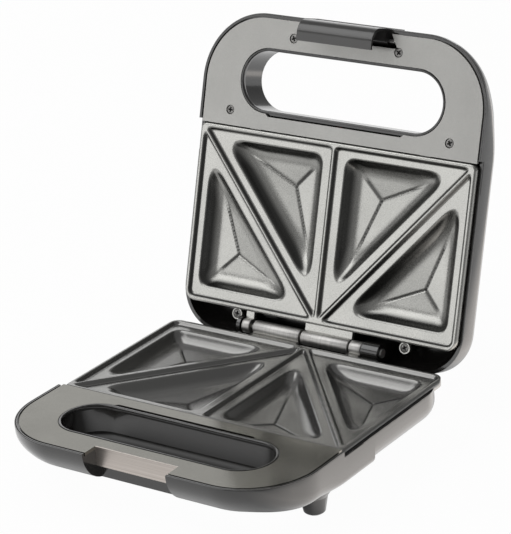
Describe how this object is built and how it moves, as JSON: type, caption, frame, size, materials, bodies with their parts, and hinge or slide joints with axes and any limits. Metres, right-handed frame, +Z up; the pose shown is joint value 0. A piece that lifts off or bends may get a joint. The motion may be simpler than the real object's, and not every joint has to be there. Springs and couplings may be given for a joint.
{
  "type": "sandwich toaster",
  "caption": "Countertop sandwich toaster with a hinged lid, two cast plates with triangular pockets, handle openings, a front latch and moulded feet; lid stands open.",
  "frame": {"origin": "on the table, below the middle of the open toaster's box", "axes": "+X to the right as seen from the handles, +Y towards the hinge, +Z up"},
  "size_m": [0.225, 0.2944, 0.2495],
  "materials": {
    "black_plastic": "glossy black moulded plastic",
    "latch_plastic": "dark grey satin moulded plastic",
    "upper_panel_coat": "satin silver-grey finish",
    "lower_panel_coat": "satin grey finish",
    "coated_casting": "grey non-stick coating with a fine metallic sparkle",
    "heater_sheath": "dark heated steel sheath",
    "zinc_steel": "zinc-plated steel",
    "bright_aluminium": "bright aluminium sheet",
    "dark_screw": "dark plated steel",
    "brushed_catch": "brushed stainless steel",
    "rubber_pad": "black rubber",
    "bright_pin": "bright steel",
    "pale_plastic": "pale heat-resistant plastic",
    "brass_terminal": "brass",
    "lamp_glass": "clear glass neon lamp",
    "red_lens": "tinted clear plastic",
    "green_lens": "tinted clear plastic"
  },
  "bodies": {
    "base": {"lower_shell": "black_plastic", "lower_panel": "lower_panel_coat", "lower_plate": "coated_casting", "lower_heater": "heater_sheath", "lower_heater_clips": "zinc_steel", "lower_clip_screws": "zinc_steel", "lower_heat_shield": "bright_aluminium", "lower_shield_screws": "zinc_steel", "lower_plate_screws": "dark_screw", "lower_panel_screws": "dark_screw", "catch_plate": "brushed_catch", "foot_pads": "rubber_pad", "hinge_pin": "bright_pin", "terminal_block": "pale_plastic", "terminal_screws": "brass_terminal", "thermal_fuse": "pale_plastic", "inlet_bush": "rubber_pad"},
    "lid": {"upper_shell": "black_plastic", "upper_panel": "upper_panel_coat", "upper_plate": "coated_casting", "upper_heater": "heater_sheath", "upper_heater_clips": "zinc_steel", "upper_clip_screws": "zinc_steel", "upper_heat_shield": "bright_aluminium", "upper_shield_screws": "zinc_steel", "upper_plate_screws": "dark_screw", "upper_panel_screws": "dark_screw", "thermostat": "zinc_steel", "thermostat_screws": "zinc_steel", "lamp_holder": "pale_plastic", "power_lamp": "lamp_glass", "ready_lamp": "lamp_glass", "power_lens": "red_lens", "ready_lens": "green_lens", "latch_pin": "bright_pin", "latch_spring": "bright_pin"},
    "latch": {"latch": "latch_plastic"}
  },
  "joints": [
    {"name": "lid_hinge", "type": "hinge", "parent": "base", "child": "lid", "pos_m": [0, 0.06728, 0.042], "axis": [1, 0, 0], "range_deg": [0, 107]},
    {"name": "latch_hinge", "type": "hinge", "parent": "lid", "child": "latch", "pos_m": [0, 0.13516, 0.23666], "axis": [-1, 0, 0], "range_deg": [0, 18], "stiffness_Nm_per_rad": 0.05, "springref_deg": -17.19}
  ]
}
